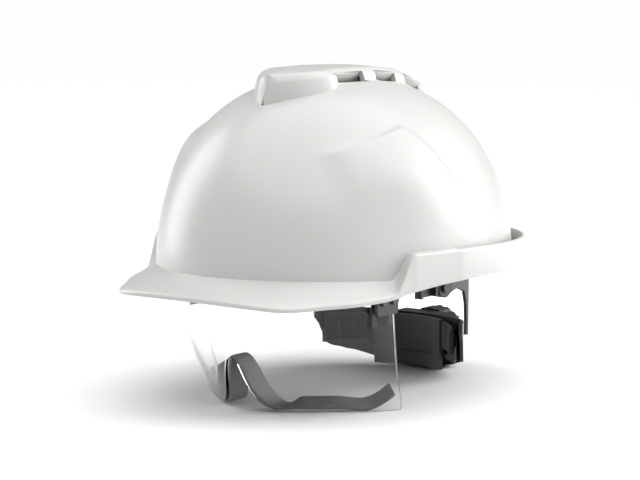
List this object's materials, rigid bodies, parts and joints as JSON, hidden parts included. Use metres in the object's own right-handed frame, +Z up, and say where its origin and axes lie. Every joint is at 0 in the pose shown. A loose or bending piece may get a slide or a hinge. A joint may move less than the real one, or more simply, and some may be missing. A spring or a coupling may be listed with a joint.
{
  "type": "vented safety helmet with eye shield",
  "caption": "Vented hard-shell safety helmet with a top crest, a swing-down clear eye shield, textile cradle and ratchet nape adjuster.",
  "frame": {"origin": "centre of the head opening, level with the foot of the dome", "axes": "+Z up towards the crown, -Y towards the brim's front, +X towards the wearer's left"},
  "size_m": [0.2218, 0.281, 0.2064],
  "materials": {
    "shell_white": "gloss moulded",
    "black_plastic": "satin moulded",
    "grey_plastic": "satin moulded",
    "clear_lens": "clear polished",
    "soft_seal": "matt soft",
    "webbing": "woven",
    "soft_foam": "padded",
    "steel": "plated"
  },
  "bodies": {
    "helmet": {"shell": "shell_white", "side_key_left": "black_plastic", "side_key_right": "black_plastic", "rear_key_left": "black_plastic", "rear_key_right": "black_plastic", "upper_crown_strap": "webbing", "lower_crown_strap": "webbing", "crown_pad": "soft_foam", "headband": "black_plastic", "sweatband": "soft_foam", "side_hanger_left": "black_plastic", "side_hanger_right": "black_plastic", "rear_stay_left": "black_plastic", "rear_stay_right": "black_plastic", "shield_rail_left": "black_plastic", "shield_rail_right": "black_plastic", "nape_pivot_pin_left": "grey_plastic", "nape_pivot_pin_right": "grey_plastic"},
    "shield_carriers": {"shield_carrier_left": "black_plastic", "shield_carrier_right": "black_plastic", "shield_pivot_pin_left": "grey_plastic", "shield_pivot_pin_right": "grey_plastic"},
    "shield": {"lens": "clear_lens", "lower_seal": "soft_seal", "shield_arm_left": "black_plastic", "shield_arm_right": "black_plastic", "arm_screw_1_left": "steel", "arm_screw_1_right": "steel", "arm_screw_2_left": "steel", "arm_screw_2_right": "steel"},
    "nape": {"nape_cradle": "black_plastic", "nape_yoke_left": "black_plastic", "nape_yoke_right": "black_plastic", "nape_pad_left": "soft_foam", "nape_pad_right": "soft_foam", "ratchet_housing": "black_plastic", "inner_cover": "grey_plastic", "detent_ring": "grey_plastic", "housing_screw_1": "steel", "housing_screw_2": "steel", "housing_screw_3": "steel", "housing_screw_4": "steel"},
    "left_tail": {"band_tail_left": "grey_plastic"},
    "right_tail": {"band_tail_right": "grey_plastic"},
    "knob_set": {"knob": "black_plastic", "ratchet_shaft": "steel", "drive_pinion": "grey_plastic", "pawl_wheel": "grey_plastic", "knob_screw": "steel"}
  },
  "joints": [
    {"name": "shield_height", "type": "slide", "parent": "helmet", "child": "shield_carriers", "axis": [0, 0, 1], "range_m": [-0.004, 0.004]},
    {"name": "shield_swing", "type": "hinge", "parent": "shield_carriers", "child": "shield", "pos_m": [0, -0.005, 0], "axis": [-1, 0, 0], "range_deg": [0, 55]},
    {"name": "nape_swing", "type": "hinge", "parent": "helmet", "child": "nape", "pos_m": [0, 0.023, -0.014], "axis": [1, 0, 0], "range_deg": [-10, 12]},
    {"name": "knob_turn", "type": "hinge", "parent": "nape", "child": "knob_set", "pos_m": [0, 0.1, -0.063], "axis": [0, 1, 0], "range_deg": [-270, 270]},
    {"name": "left_tail_slide", "type": "hinge", "parent": "nape", "child": "left_tail", "pos_m": [0, 0.028, -0.063], "axis": [0, 0, 1], "range_deg": [-21, 21]},
    {"name": "right_tail_slide", "type": "hinge", "parent": "nape", "child": "right_tail", "pos_m": [0, 0.028, -0.063], "axis": [0, 0, 1], "range_deg": [-21, 21]}
  ],
  "couplings": [
    {"joint": "left_tail_slide", "follows": "knob_turn", "ratio": 0.075},
    {"joint": "right_tail_slide", "follows": "knob_turn", "ratio": -0.0729}
  ]
}
